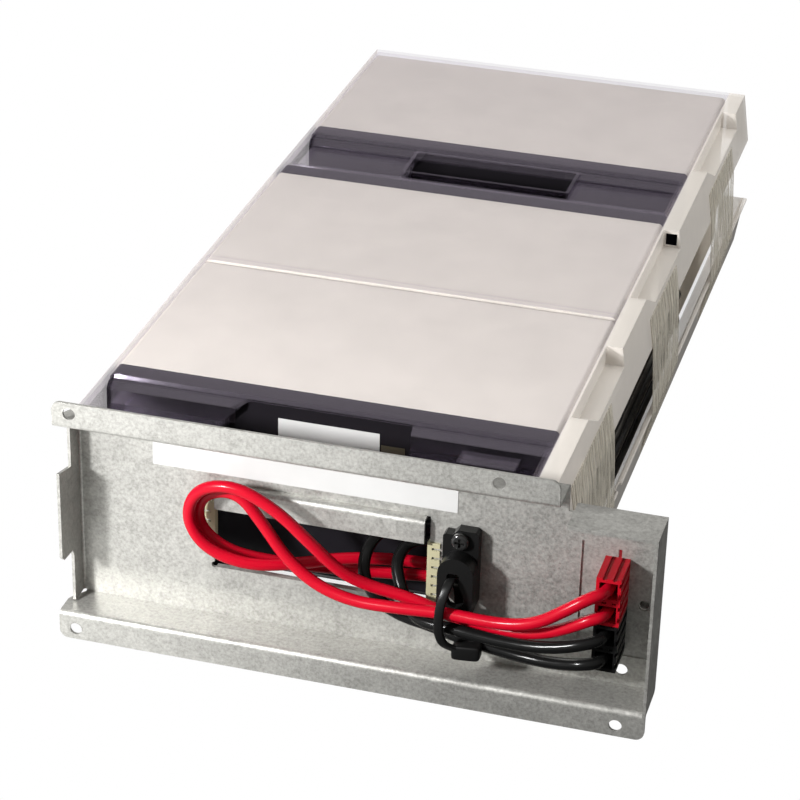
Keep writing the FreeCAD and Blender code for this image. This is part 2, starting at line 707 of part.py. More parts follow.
# ---------------------------------------------------------------- batteries
def make_battery(index, lid_face, facing):
    """A sealed block on its side; facing is -1 where the lid looks to the front."""
    def along(depth):
        return "(%s - (%d) * (%s))" % (lid_face, facing, depth)

    def span(near, far):
        return (along(far), along(near)) if facing > 0 else (along(near), along(far))
    top = BATTERY_TOP
    case = new_body("battery_case_%d" % index)
    pad(case, "XZ_Plane", [rectangle("0", "battery_width", "battery_low", top)],
        *span("lid_depth", "lid_depth + case_depth"))
    middle = along("lid_depth + case_depth / 2")
    round_each(case, "case_round", [
        ("0", middle, "battery_low"), ("battery_width", middle, "battery_low"),
        ("0", middle, top), ("battery_width", middle, top),
    ])
    lid = new_body("battery_lid_%d" % index)
    pad(lid, "XZ_Plane", [rectangle("0", "battery_width", "battery_low", top)],
        *span("lid_depth - lid_band", "lid_depth"))
    round_each(lid, "case_round", [
        ("0", along("lid_depth - 1"), "battery_low"),
        ("battery_width", along("lid_depth - 1"), "battery_low"),
        ("0", along("lid_depth - 1"), top), ("battery_width", along("lid_depth - 1"), top),
    ])
    inner = rectangle("lid_side", "battery_width - lid_side",
                      "battery_low + lid_step", top + " - lid_step")
    pad(lid, "XZ_Plane", [inner], *span("0", "lid_depth - lid_band"))
    blend(lid, "Chamfer", "lid_slope", [
        ("battery_width / 2", along("0"), top + " - lid_step"),
        ("battery_width / 2", along("0"), "battery_low + lid_step"),
    ])
    if facing < 0:
        well = [
            ("well_left", "well_low"), ("well_right", "well_low"),
            ("well_right", top), ("well_left + well_slope", top),
            ("well_left", top + " - well_slope"),
        ]
        pocket(lid, "XZ_Plane", [well], *span("0", "well_depth"))
    for side, across in (("left", "tab_inset"), ("right", "battery_width - tab_inset")):
        make_terminal("%d_%s" % (index, side), across, along, span)


def make_lid_marks():
    """A bare label and a small amber field inside the first lid's recess."""
    face = "(front_gap + well_depth)"
    for name, left, right, low, high in (
            ("lid_label", "lid_label_left", "lid_label_right", "61", "71.6"),
            ("lid_amber", "lid_label_right + 0.5", "lid_label_right + 8.5", "60", "67.6")):
        mark = new_body(name)
        pad(mark, "XZ_Plane", [rectangle(left, right, low, high)],
            face + " - label_skin", face)


def make_terminal(name, across, along, span):
    """A spade tab on the lid and the insulated sleeve that is pushed over it."""
    height = "battery_low + tab_height"
    tab = new_body("spade_tab_" + name)
    section = rectangle(across + " - tab_width / 2", across + " + tab_width / 2",
                        height + " - tab_skin / 2", height + " + tab_skin / 2")
    pad(tab, "XZ_Plane", [section], *span("0 - tab_reach", "0"))
    sleeve = new_body("tab_sleeve_" + name)
    outer = rectangle(across + " - sleeve_width / 2", across + " + sleeve_width / 2",
                      height + " - sleeve_height / 2", height + " + sleeve_height / 2")
    pad(sleeve, "XZ_Plane", [outer], *span("0 - sleeve_depth", "0 - sleeve_wall"))
    pocket(sleeve, "XZ_Plane", [section], *span("0 - tab_reach", "0 - sleeve_wall"))


# ---------------------------------------------------------------- clear shells
DIPS = [
    ("(front_gap + dip_first)", "(%s - dip_first_end)" % SEAM),
    ("(%s + dip_second)" % SEAM, "(%s - dip_second_end)" % SECOND_LID),
    ("(%s + dip_third)" % THIRD_LID, "(%s - dip_third_end)" % TRAY_END),
]


def brow(face, facing, floor, skin):
    """The cover's line over a lid: up from the floor, a slope, a step, then the top."""
    points = [
        ("1.0", floor), ("1.0", COVER_TOP + " - 3.6"), ("0 - 1.4", COVER_TOP + " - 1.3"),
        ("0 - 2.4", COVER_TOP + " - 1.2"), ("0 - 3.0", COVER_TOP),
    ]
    return [("%s + (%d) * (%s - %s)" % (face, facing, along, skin), "%s - %s" % (up, skin))
            for along, up in points]


def form_cover(body, skin):
    """The cover's solid form, taken in by one skin for the hollow inside it."""
    top = COVER_TOP
    edge = "cover_edge - %s" % skin
    section = [
        ("shell_left + " + skin, edge), (SHOULDER_OUT + " + wall_lean - " + skin, edge),
        (SHOULDER_OUT + " - " + skin, "%s - %s" % (top, skin)),
        ("shell_left + " + skin, "%s - %s" % (top, skin)),
    ]
    pad(body, "XZ_Plane", [section], "shell_front + " + skin, SHELL_END + " - " + skin)
    # Rib over the seam between the first two batteries.
    slant = "%s + (%s) * (seam_rib + 0.8 - %s)"
    crest = "%s + (%s) * (seam_rib - %s)"
    low, high = "%s - %s" % (top, skin), "%s + seam_rib_high - %s" % (top, skin)
    rib = [(slant % (SEAM, "0 - 1", skin), low), (slant % (SEAM, "1", skin), low),
           (crest % (SEAM, "1", skin), high), (crest % (SEAM, "0 - 1", skin), high)]
    pad(body, "YZ_Plane", [rib], "1 + " + skin, SHOULDER_IN + " - 1 - " + skin)
    # Dips in the right shoulder: a ramp, a floor and an upright end.
    floor = "(%s - dip_drop)" % top
    for start, end in DIPS:
        dip = [
            ("%s - %s - 1" % (start, skin), top + " + 0.5"),
            ("%s - %s" % (start, skin), "%s - %s / 2" % (top, skin)),
            ("%s + dip_ramp - %s / 2" % (start, skin), "%s - %s" % (floor, skin)),
            ("%s + %s" % (end, skin), "%s - %s" % (floor, skin)),
            ("%s + %s" % (end, skin), top + " + 0.5"),
        ]
        pocket(body, "YZ_Plane", [dip], SHOULDER_IN + " + dip_inset - " + skin,
               SHOULDER_OUT + " + wall_lean + 1")
    # Front: a brow over the lid's step, then a low terrace between two cheeks.
    inner, outer = "cheek - " + skin, SHOULDER_IN + " - cheek + " + skin
    floor = "(%s - terrace_drop)" % top
    front = [("shell_front - 1", "%s - %s" % (floor, skin))]
    front += brow("front_gap", -1, floor, skin) + [("shell_front - 1", top + " - " + skin)]
    pocket(body, "YZ_Plane", [front], inner, outer)
    box_left = "battery_width - box_inset"
    box = rectangle(box_left + " + " + skin, box_left + " + box_width - " + skin,
                    "box_front + " + skin, "box_front + box_depth - " + skin)
    pad(body, "XY_Plane", [box], "%s - %s - 0.1" % (floor, skin),
        "%s + box_high - %s" % (floor, skin))
    # Trench between the facing lids.
    floor = "(%s - trench_drop)" % top
    trench = brow(SECOND_LID, 1, floor, skin)
    trench += brow(THIRD_LID, -1, floor, skin)[::-1]
    pocket(body, "YZ_Plane", [trench], inner, outer)


def make_cover():
    """Upper shell: a formed skin of one thickness, opened in three places."""
    top = COVER_TOP
    outside = document.addObject("PartDesign::Body", "cover_outside")
    form_cover(outside, "0")
    collar = rectangle("collar_left - collar_wall", "collar_right + collar_wall",
                       "collar_front - collar_wall", "collar_back + collar_wall")
    pad(outside, "XY_Plane", [collar], top + " - trench_drop",
        top + " - trench_drop + collar_high")
    inside = document.addObject("PartDesign::Body", "cover_inside")
    form_cover(inside, "shell_skin")
    finger = rectangle("collar_left", "collar_right", "collar_front", "collar_back")
    pad(inside, "XY_Plane", [finger], top + " - trench_drop - 2 * shell_skin", top + " + 1")
    front_opening = [
        ("well_left", "8"), ("well_right", "8"), ("well_right", "front_gap + 2.2"),
        ("well_left + well_slope", "front_gap + 2.2"), ("well_left", "front_gap - 2"),
    ]
    pad(inside, "XY_Plane", [front_opening], top + " - terrace_drop - 2 * shell_skin",
        top + " + 1")
    side_port = rectangle(SHOULDER_IN + " + port_inset", SHOULDER_OUT + " - port_inset / 2",
                          "%s - dip_drop + port_rise" % top, top + " - shell_skin - port_rise")
    end = DIPS[1][1]
    pad(inside, "XZ_Plane", [side_port], end + " - shell_skin", end + " + 2 * shell_skin")
    cover = document.addObject("Part::Cut", "top_cover")
    cover.Base = outside
    cover.Tool = inside
    place(cover)
    return keep(cover, "top_cover")


def make_tray():
    """Lower shell: leaning right side, rimmed edges and a low opening at the front."""
    body = new_body("bottom_tray")
    low = "battery_low - shell_skin"
    section = [
        ("shell_left", low), (TRAY_RIGHT + " - tray_lean", low), (TRAY_RIGHT, "tray_edge"),
        ("shell_left", "tray_edge"),
    ]
    pad(body, "XZ_Plane", [section], "shell_front", TRAY_END)
    document.recompute()
    base = body.Tip
    top = max(range(len(base.Shape.Faces)),
              key=lambda face: base.Shape.Faces[face].CenterOfMass.z)
    skin = body.newObject("PartDesign::Thickness", "skin")
    skin.Base = (base, ["Face%d" % (top + 1)])
    skin.Mode = "Skin"
    skin.Join = "Intersection"
    skin.Reversed = True
    skin.setExpression("Value", bound("shell_skin"))
    body.Tip = skin
    gate = rectangle("shell_left + rim_front", TRAY_RIGHT + " - rim_front", "tray_gate",
                     "tray_edge + 1")
    pocket(body, "XZ_Plane", [gate], "shell_front - 1", "shell_front + 2 * shell_skin")
    breaks = ["(%s - rim_break_first)" % SEAM, "(%s - rim_break_second)" % SECOND_LID]
    starts = ["shell_front + 2 * rim_front"] + [spot + " + rim_break / 2" for spot in breaks]
    ends = [spot + " - rim_break / 2" for spot in breaks] + [TRAY_END]
    for start, end in zip(starts, ends):
        rim = rectangle(TRAY_RIGHT + " - shell_skin / 2", TRAY_RIGHT + " + rim_reach",
                        "tray_edge - rim_high", "tray_edge")
        pad(body, "XZ_Plane", [rim], start, end)
    left = rectangle("shell_left - rim_left_reach", "shell_left + shell_skin / 2",
                     "tray_edge - shell_skin", "tray_edge")
    pad(body, "XZ_Plane", [left], "shell_front + rim_front", TRAY_END + " - rim_front")
    return body


# ---------------------------------------------------------------- clear tape
def make_tape(label, start, width):
    """A film that ties the cover's right wall to the tray's."""
    body = new_body(label)
    drop = "(%s - tape_high) / (%s - cover_edge)" % (COVER_TOP, COVER_TOP)
    foot = "(tray_edge - tape_low) / (tray_edge - battery_low + shell_skin)"
    path = [
        (SHOULDER_OUT + " + tape_gap + wall_lean * %s" % drop, "tape_high"),
        (SHOULDER_OUT + " + tape_gap + wall_lean", "cover_edge"),
        (TRAY_RIGHT + " + tape_gap + rim_reach", "tray_edge"),
        (TRAY_RIGHT + " + tape_gap + rim_reach", "tray_edge - rim_high"),
        (TRAY_RIGHT + " + tape_gap - tray_lean * %s" % foot, "tape_low"),
    ]
    outer = [(across + " + tape_skin", up) for across, up in path]
    pad(body, "XZ_Plane", [path + outer[::-1]], start, "%s + %s" % (start, width))
    return body


# ---------------------------------------------------------------- leads
def tube(label, points, radius):
    """A round lead along straight runs joined by tangent arcs."""
    spots = [FreeCAD.Vector(*point) for point in points]
    edges, here, radii = [], spots[0], []
    for before, corner, after in zip(spots, spots[1:], spots[2:]):
        back, ahead = (before - corner), (after - corner)
        run = min(back.Length, ahead.Length)
        back.normalize()
        ahead.normalize()
        half_turn = (math.pi - back.getAngle(ahead)) / 2
        trim = 0.45 * run
        radii.append(trim / math.tan(half_turn))
        start, end = corner + back * trim, corner + ahead * trim
        centre = corner + (back + ahead).normalize() * (radii[-1] / math.cos(half_turn))
        middle = centre + (corner - centre).normalize() * radii[-1]
        edges.append(Part.LineSegment(here, start).toShape())
        edges.append(Part.Arc(start, middle, end).toShape())
        here = end
    edges.append(Part.LineSegment(here, spots[-1]).toShape())
    path = Part.Wire(edges)
    section = Part.Wire(Part.makeCircle(radius, spots[0], spots[1] - spots[0]))
    solid = path.makePipeShell([section], True, False)
    solid = solid if solid.ShapeType == "Solid" else Part.Solid(solid)
    ideal = math.pi * radius ** 2 * path.Length
    print(label, "length %.0f" % path.Length, "volume ratio %.4f" % (solid.Volume / ideal),
          "radii", [round(value, 1) for value in radii])
    lead = document.addObject("Part::Feature", label)
    lead.Shape = solid
    place(lead)
    return keep(lead, label)


def plug_spot(level, back):
    """Where a lead meets the blade of the connector at this level."""
    return (number("plug_left + plug_width / 2"), number("plug_front") + back,
            number("plug_low + %d * plug_pitch + plug_rib + 0.6 + plug_mouth / 2" % level))


def sleeve_spot(index, side, above):
    """Where a lead meets the side of a tab's sleeve that looks to the battery's middle."""
    face = {1: "front_gap", 2: SECOND_LID, 3: THIRD_LID}[index]
    sign = 1 if index == 2 else -1
    middle = number("%s + (%d) * (sleeve_depth + sleeve_wall) / 2" % (face, sign))
    across = number(SLEEVE_SIDES[side])
    return (across, middle, number("battery_low + tab_height") + above)


SLEEVE_SIDES = {
    "left": "tab_inset + sleeve_width / 2",
    "inner": "battery_width - tab_inset - sleeve_width / 2",
    "outer": "battery_width - tab_inset + sleeve_width / 2",
}


def make_leads():
    radius = number("lead_radius")
    inside = number("plug_mouth_depth - 2")
    starts = [[plug_spot(level, inside), plug_spot(level, -2)] for level in range(4)]
    for name, start, middle, above in (("red_lead_upper", starts[3], RED_UPPER, -2.7),
                                       ("red_lead_lower", starts[2], RED_LOWER, 2.7)):
        end = sleeve_spot(1, "inner", above)
        tube(name, start + middle + [(end[0] - 6, end[1], end[2]), end], radius)
    tube("black_lead_upper", starts[1] + BLACK_UPPER, radius)
    tube("black_lead_lower", starts[0] + BLACK_LOWER, radius)
    # Held leads: from the ends of the black ones along the right side to the channel.
    side = number("battery_width + side_space")
    low_side = number("battery_width + link_space")
    edge = number("battery_width + cover_gap / 2")
    front, turn = number("front_gap"), number(SECOND_LID)
    upper, lower = number("side_upper"), number("side_lower")
    for name, start, level, end in (
            ("side_lead_upper", BLACK_LOWER[-1], upper, sleeve_spot(3, "outer", 2.7)),
            ("side_lead_lower", BLACK_UPPER[-1], lower, sleeve_spot(3, "outer", -2.7))):
        tube(name, [
            start, (start[0] + 17, start[1], start[2]),
            (edge, start[1] + 2, (start[2] + level) / 2 + 1),
            (side, front + 7, level), (side, turn - 4, level), (side, end[1] - 9, level - 3),
            (side - 4, end[1] - 2, end[2] + 1.5), (side - 10, end[1], end[2]), end], radius)
    start, end = sleeve_spot(1, "left", -3), sleeve_spot(2, "outer", 0)
    level = number("link_height")
    tube("link_lead", [
        start, (start[0] + 6, start[1], start[2]), (start[0] + 14.5, front - 7, level + 1),
        (start[0] + 28.5, front - 10, level - 1.5), (edge - 16, front - 11, level - 1.5),
        (edge, front - 10.5, level - 1), (low_side, front + 3, level),
        (low_side, turn - 16, level), (low_side - 0.5, turn - 3, level + 1),
        (low_side - 4.5, end[1] - 0.5, end[2] - 6), (low_side - 7.5, end[1], end[2]), end], radius)
    first, last = sleeve_spot(2, "left", 0), sleeve_spot(3, "left", 0)
    tube("channel_link", [
        first, (first[0] + 9, first[1], first[2]),
        (first[0] + 13, (first[1] + last[1]) / 2, first[2]),
        (last[0] + 9, last[1], last[2]), last], radius)


RED_UPPER = [
    (171.5, -18.8, 52.6), (164.3, -18.2, 42.6), (153, -15.4, 36.2), (143, -14, 34.1),
    (128, -12.9, 33.4), (111, -12.6, 32), (96, -11.4, 30.9), (83, -9.8, 33.8),
    (72.5, -8.2, 41.2), (65, -7.4, 51.5), (56, -6.9, 62), (43.5, -6, 58), (41.8, -5.4, 46.5),
    (50.5, -4.6, 38), (62, 1.2, 32.6), (78, 8.5, 28.8), (95, 13, 27.6), (111, 16.3, 27.3),
]
RED_LOWER = [
    (171.5, -18.4, 44), (163.8, -15.2, 33.9), (152, -10.6, 29.4), (141, -8.4, 27.4),
    (130, -7, 28.2), (120, -6.6, 31.2), (110, -6.3, 33.2), (100, -7.9, 35.6),
    (91.5, -10.8, 40.8), (82, -12.8, 51), (71, -12.5, 60.5), (57, -12.2, 66.8),
    (44, -10.8, 62.8), (39.8, -10.5, 51.5), (46, -10.2, 40.6), (60, -9, 36),
    (74, -3, 35.6), (88, 5.5, 35.8), (103, 11.5, 34.8), (115, 15.2, 33),
]
BLACK_UPPER = [
    (171.3, -18.3, 34.8), (163, -16.2, 29), (153, -14.6, 27.1), (142, -13.6, 26.6),
    (130, -12.2, 27.4), (121.6, -10.4, 26.8), (116.6, -8, 26.6), (113, -4.4, 27.8),
    (109, -0.6, 32.6), (105.5, 5, 38.6), (109, 13, 43.6), (119, 13, 43.6),
]
BLACK_LOWER = [
    (171.8, -18, 26.8), (163.5, -13.6, 22.2), (154, -10.3, 19.6), (144, -8.6, 19.4),
    (130, -7.4, 20.8), (120.5, -5.5, 22.2), (112, -4.2, 23), (105, -3.8, 26.2),
    (99, -3.5, 32), (96, -0.5, 38.4), (97.5, 6.5, 45.4), (107, 13, 50.2), (119, 13, 50.2),
]

make_bracket()
make_edge_strip("edge_strip_left", "window_left", -1, "window_low + gauge + strip_lift",
                "strip_high_left")
make_edge_strip("edge_strip_right", "window_right", 1, "window_low + gauge",
                "strip_high_right")
make_plate_label()
make_saddle()
make_screw()
make_press_nut()
make_tie()
for level, name in enumerate(("black_lower", "black_upper", "red_lower", "red_upper")):
    housing, slot = make_plug("plug_" + name, level)
    make_blade("blade_" + name, slot)
make_battery(1, "front_gap", -1)
make_battery(2, SECOND_LID, 1)
make_battery(3, THIRD_LID, -1)
make_lid_marks()
make_cover()
make_tray()
make_tape("tape_front", "(front_gap - tape_front_start)", "tape_front_width")
make_tape("tape_middle", "(%s + tape_middle_start)" % SEAM, "tape_middle_width")
make_tape("tape_rear", "(%s + tape_rear_start)" % THIRD_LID, "tape_rear_width")
make_leads()

document.recompute()
for thing in document.Objects:
    if "Invalid" in thing.State or "Error" in thing.State:
        raise RuntimeError("%s failed: %s" % (thing.Name, thing.State))
os.makedirs("parts", exist_ok=True)
for node in NODES:
    shape = node.Shape
    if shape.isNull() or not shape.isValid() or shape.Volume <= 0:
        raise RuntimeError("%s has no valid shape" % node.Label)
    shape.exportStep("parts/%s.step" % node.Label)
print(len(NODES), "sub-parts written")
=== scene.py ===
import json
import math

import bmesh
import bpy
import numpy as np
from mathutils import Matrix, Vector


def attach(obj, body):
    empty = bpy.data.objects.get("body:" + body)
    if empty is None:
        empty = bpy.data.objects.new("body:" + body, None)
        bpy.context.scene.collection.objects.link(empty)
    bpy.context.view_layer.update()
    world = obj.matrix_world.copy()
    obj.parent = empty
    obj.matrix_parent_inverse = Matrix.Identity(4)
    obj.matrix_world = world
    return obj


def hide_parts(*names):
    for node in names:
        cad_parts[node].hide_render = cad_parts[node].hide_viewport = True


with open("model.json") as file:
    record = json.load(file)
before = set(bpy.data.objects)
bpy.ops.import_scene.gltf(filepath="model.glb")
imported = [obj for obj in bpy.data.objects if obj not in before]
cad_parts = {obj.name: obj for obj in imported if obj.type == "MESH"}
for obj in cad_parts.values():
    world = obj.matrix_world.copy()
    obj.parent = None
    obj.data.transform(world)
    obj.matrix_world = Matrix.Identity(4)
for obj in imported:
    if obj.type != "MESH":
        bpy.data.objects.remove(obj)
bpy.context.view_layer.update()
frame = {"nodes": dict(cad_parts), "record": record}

# Layout places are in millimetres: X from the left side of the batteries, Y from the front
# plate's face, Z from the lower lip's edge. ZERO is added to them to get places in the frame.
ZERO = np.array([-95.0, -163.0, 0.0])
BATTERY_WIDTH = 151.0


def metres(points):
    """Layout millimetres to frame metres: the point plus ZERO, over a thousand."""
    return (np.asarray(points, dtype=float) + ZERO) / 1000.0


def map_range(tree, source, low, high, start, end):
    """Maps a node's output from start..end to low..high, clamped."""
    node = tree.nodes.new("ShaderNodeMapRange")
    for socket, value in (("From Min", start), ("From Max", end),
                          ("To Min", low), ("To Max", high)):
        node.inputs[socket].default_value = value
    tree.links.new(source, node.inputs["Value"])
    return node.outputs["Result"]


# ------------------------------------------------------------------ finishes
class Finish:
    """One material: a Principled shader and short ways to wire patterns on Object coordinates."""

    def __init__(self, name, colour, roughness=0.5, metallic=0.0, **sockets):
        self.material = bpy.data.materials.new(name)
        self.material.use_nodes = True
        self.tree = self.material.node_tree
        self.nodes, self.links = self.tree.nodes, self.tree.links
        self.shader = self.nodes["Principled BSDF"]
        self.place = self.nodes.new("ShaderNodeTexCoord").outputs["Object"]
        self.set("Base Color", (*colour, 1.0))
        self.set("Roughness", roughness)
        self.set("Metallic", metallic)
        for socket, value in sockets.items():
            self.set(socket.replace("_", " "), value)

    def set(self, socket, value):
        self.shader.inputs[socket].default_value = value

    def join(self, output, socket):
        self.links.new(output, self.shader.inputs[socket])

    def stretched(self, scale):
        """Object coordinates times a scale along each axis."""
        mapping = self.nodes.new("ShaderNodeMapping")
        mapping.inputs["Scale"].default_value = scale
        self.links.new(self.place, mapping.inputs["Vector"])
        return mapping.outputs["Vector"]

    def axis(self, name):
        """One axis of the Object coordinates, in metres."""
        node = self.nodes.new("ShaderNodeSeparateXYZ")
        self.links.new(self.place, node.inputs["Vector"])
        return node.outputs[name]

    def noise(self, scale, detail=3.0, rough=0.55, place=None):
        node = self.nodes.new("ShaderNodeTexNoise")
        node.inputs["Scale"].default_value = scale
        node.inputs["Detail"].default_value = detail
        node.inputs["Roughness"].default_value = rough
        self.links.new(place or self.place, node.inputs["Vector"])
        return node.outputs["Fac"]

    def cells(self, scale):
        node = self.nodes.new("ShaderNodeTexVoronoi")
        node.inputs["Scale"].default_value = scale
        self.links.new(self.place, node.inputs["Vector"])
        return node.outputs["Color"]

    def range(self, source, low, high, start=0.0, end=1.0):
        return map_range(self.tree, source, low, high, start, end)

    def math(self, operation, first, second=0.0):
        """One operation on a node's output and a number or another node's output."""
        node = self.nodes.new("ShaderNodeMath")
        node.operation = operation
        self.links.new(first, node.inputs[0])
        if isinstance(second, float):
            node.inputs[1].default_value = second
        else:
            self.links.new(second, node.inputs[1])
        return node.outputs["Value"]

    def blend(self, factor, first, second):
        """Mixes two colours by a node's output."""
        node = self.nodes.new("ShaderNodeMix")
        node.data_type = "RGBA"
        self.links.new(factor, node.inputs["Factor"])
        sockets = [s for s in node.inputs if s.type == "RGBA"]
        for socket, colour in zip(sockets, (first, second)):
            socket.default_value = (*colour, 1.0)
        return [s for s in node.outputs if s.type == "RGBA"][0]

    def bump(self, height, strength, distance):
        node = self.nodes.new("ShaderNodeBump")
        node.inputs["Strength"].default_value = strength
        node.inputs["Distance"].default_value = distance
        self.links.new(height, node.inputs["Height"])
        self.join(node.outputs["Normal"], "Normal")
        return self

    def done(self):
        return self.material


BLACK = (0.006, 0.006, 0.006)
DULL = {"Specular_IOR_Level": 0.14}


def galvanised_steel():
    """Zinc on steel: faint spangle cells, a cloud and a fine grain."""
    dark, bright = (0.25, 0.247, 0.231), (0.49, 0.485, 0.46)
    f = Finish("galvanised_steel", (0.5, 0.5, 0.48), 0.42, 0.6)
    spangle = f.range(f.cells(420.0), 0.0, 1.0)
    cloud = f.noise(70.0, 5.0, 0.65)
    speck = f.noise(900.0, 3.0, 0.7)
    tone = f.math("ADD", f.math("MULTIPLY", spangle, 0.1), f.math("MULTIPLY", cloud, 0.25))
    tone = f.math("ADD", tone, f.math("MULTIPLY", speck, 0.65))
    f.join(f.blend(f.range(tone, 0.0, 1.0, 0.32, 0.68), dark, bright), "Base Color")
    f.join(f.range(tone, 0.34, 0.5, 0.3, 0.7), "Roughness")
    return f.bump(speck, 0.25, 0.0002).done()


def plain(name, colour, roughness, grain_scale=1800.0, strength=0.08, **sockets):
    """One colour with a faint cloud and a fine grain, for plastics, films and small metal."""
    f = Finish(name, colour, roughness, **sockets)
    low = tuple(c * 0.9 for c in colour)
    high = tuple(min(c * 1.08, 1.0) for c in colour)
    f.join(f.blend(f.noise(60.0, 3.0), low, high), "Base Color")
    f.join(f.range(f.noise(220.0), roughness * 0.88, roughness * 1.12), "Roughness")
    return f.bump(f.noise(grain_scale, 2.0), strength, 0.0002).done()


def insulation(name, colour, roughness):
    """Insulation of a lead: semi-gloss, with a slow drift of tone."""
    f = Finish(name, colour, roughness, **DULL)
    low = tuple(c * 0.82 for c in colour)
    f.join(f.blend(f.noise(35.0, 2.0), low, colour), "Base Color")
    f.join(f.range(f.noise(300.0), roughness * 0.8, roughness * 1.25), "Roughness")
    return f.bump(f.noise(700.0, 2.0), 0.05, 0.0002).done()


def clear_sheet():
    """Clear formed sheet: what it doesn't mirror passes straight through. Its share of mirror
    climbs from least to most with the fifth power of how far the surface turns from the eye.
    Past the batteries' sides, by place and not by any measured property, the sheet turns beige,
    less of a mirror and less clear: painted light, a stand-in for the lit battery cases seen
    through the side walls."""
    # The second colour and the last share are painted light: a beige coat and extra opacity put
    # on past the batteries' sides, for the lit cases seen through the walls.
    clear, painted_side_colour = (0.9, 0.8, 1.0), (0.93, 0.88, 0.82)
    least, most, painted_side_alpha = 0.075, 0.9, 0.4
    middle = (BATTERY_WIDTH / 2 + ZERO[0]) / 1000.0
    painted_side_starts = (BATTERY_WIDTH / 2 + 0.3) / 1000.0
    painted_side_full = (BATTERY_WIDTH / 2 + 0.9) / 1000.0
    f = Finish("clear_sheet", clear, 0.07, 1.0)
    weight = f.nodes.new("ShaderNodeLayerWeight")
    weight.inputs["Blend"].default_value = 0.5
    turned = f.math("POWER", weight.outputs["Facing"], 5.0)
    out = f.math("ABSOLUTE", f.math("ADD", f.axis("X"), -middle))
    # Mask of the painted light: zero over the batteries, one past their sides, where the sheet is
    # painted beige, less metallic and more opaque.
    side = f.range(out, 0.0, 1.0, painted_side_starts, painted_side_full)
    f.join(f.blend(side, clear, painted_side_colour), "Base Color")
    f.join(f.range(side, 1.0, 0.0), "Metallic")
    f.join(f.math("ADD", f.range(turned, least, most), f.math("MULTIPLY", side, painted_side_alpha)), "Alpha")
    return f.bump(f.noise(60.0, 2.0), 0.12, 0.001).done()


def creased_tape():
    """Clear tape across the seam of the two shells: milky, with upright creases, which are a
    noise that changes fast along Y and slowly along X and Z."""
    f = Finish("clear_tape", (0.82, 0.77, 0.66), 0.2)
    crease = f.noise(1.0, 4.0, 0.6, f.stretched((60.0, 520.0, 60.0)))
    f.join(f.range(crease, 0.2, 0.95, 0.4, 0.62), "Alpha")
    return f.bump(crease, 0.9, 0.002).done()


# Each plain finish: its colour and roughness, then its grain where that isn't the usual one.
PLAIN = {
    "cream_plastic": ((0.35, 0.33, 0.21), 0.5),
    "label_film": ((0.47, 0.47, 0.465), 0.45, 900.0, 0.03),
    "amber_film": ((0.045, 0.038, 0.022), 0.3),
    "dark_steel": ((0.012, 0.012, 0.012), 0.14),
    "tinned_copper": ((0.6, 0.58, 0.54), 0.3),
    "case_plastic": ((0.77, 0.73, 0.66), 0.6, 1500.0, 0.06),
}
PLAIN_DULL = {
    "black_nylon": (BLACK, 0.3),
    "red_plastic": ((0.36, 0.004, 0.012), 0.36),
    "black_plastic": (BLACK, 0.35),
    "lid_plastic": ((0.008, 0.007, 0.009), 0.35),
    "sleeve_vinyl": (BLACK, 0.35),
}
INSULATION = {
    "red_insulation": ((0.42, 0.002, 0.014), 0.24),
    "black_insulation": (BLACK, 0.2),
}
FINISHES = {
    "galvanised_steel": galvanised_steel(),
    "clear_sheet": clear_sheet(),
    "clear_tape": creased_tape(),
    **{name: plain(name, *look) for name, look in PLAIN.items()},
    **{name: plain(name, *look, **DULL) for name, look in PLAIN_DULL.items()},
    **{name: insulation(name, *look) for name, look in INSULATION.items()},
}

SLOTS = {part["node"]: part["material_slot"] for part in frame["record"]["subparts"]}


def dress(piece, node):
    """Gives a piece its node's finish, in every slot that it has."""
    material = FINISHES[SLOTS[node]]
    if not piece.data.materials:
        piece.data.materials.append(material)
    for index in range(len(piece.data.materials)):
        piece.data.materials[index] = material


for node, piece in frame["nodes"].items():
    dress(piece, node)


# ------------------------------------------------------------------ rounded pieces
def add_piece(name, data, node):
    """Puts a mesh or a curve in the scene in the place of one CAD node."""
    piece = bpy.data.objects.new(name, data)
    bpy.context.collection.objects.link(piece)
    dress(piece, node)
    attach(piece, "root")
    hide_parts(node)
    return piece


MERGED_WITHIN = 2e-6            # metres between two corners that are one
SHARP = math.radians(28.0)      # edges that turn further than this are rounded
DRAWN_IN = 0.12                 # millimetres that cases and lids keep from the clear sheet


def rounded(name, node, radius, segments, ease=0.0):
    """A copy of a CAD piece with its sharp edges rounded by a radius in millimetres. It is
    drawn in by ease on every side: each place is scaled about the middle of its box, so that
    a piece that touches clear sheet in the solids stays apart from it."""
    mesh = frame["nodes"][node].data.copy()
    shape = bmesh.new()
    shape.from_mesh(mesh)
    bmesh.ops.remove_doubles(shape, verts=shape.verts, dist=MERGED_WITHIN)
    shape.to_mesh(mesh)
    shape.free()
    places = np.empty((len(mesh.vertices), 3), np.float32)
    mesh.vertices.foreach_get("co", places.ravel())
    low, high = places.min(0), places.max(0)
    inset = ease / 1000.0
    places = low + inset + (places - low) * (1 - 2 * inset / (high - low))
    mesh.vertices.foreach_set("co", places.astype(np.float32).ravel())
    mesh.polygons.foreach_set("use_smooth", np.zeros(len(mesh.polygons), bool))
    bevel = add_piece(name, mesh, node).modifiers.new("rounded", "BEVEL")
    bevel.width = radius / 1000.0
    bevel.segments = segments
    bevel.limit_method = "ANGLE"
    bevel.angle_limit = SHARP
    bevel.miter_outer = "MITER_ARC"


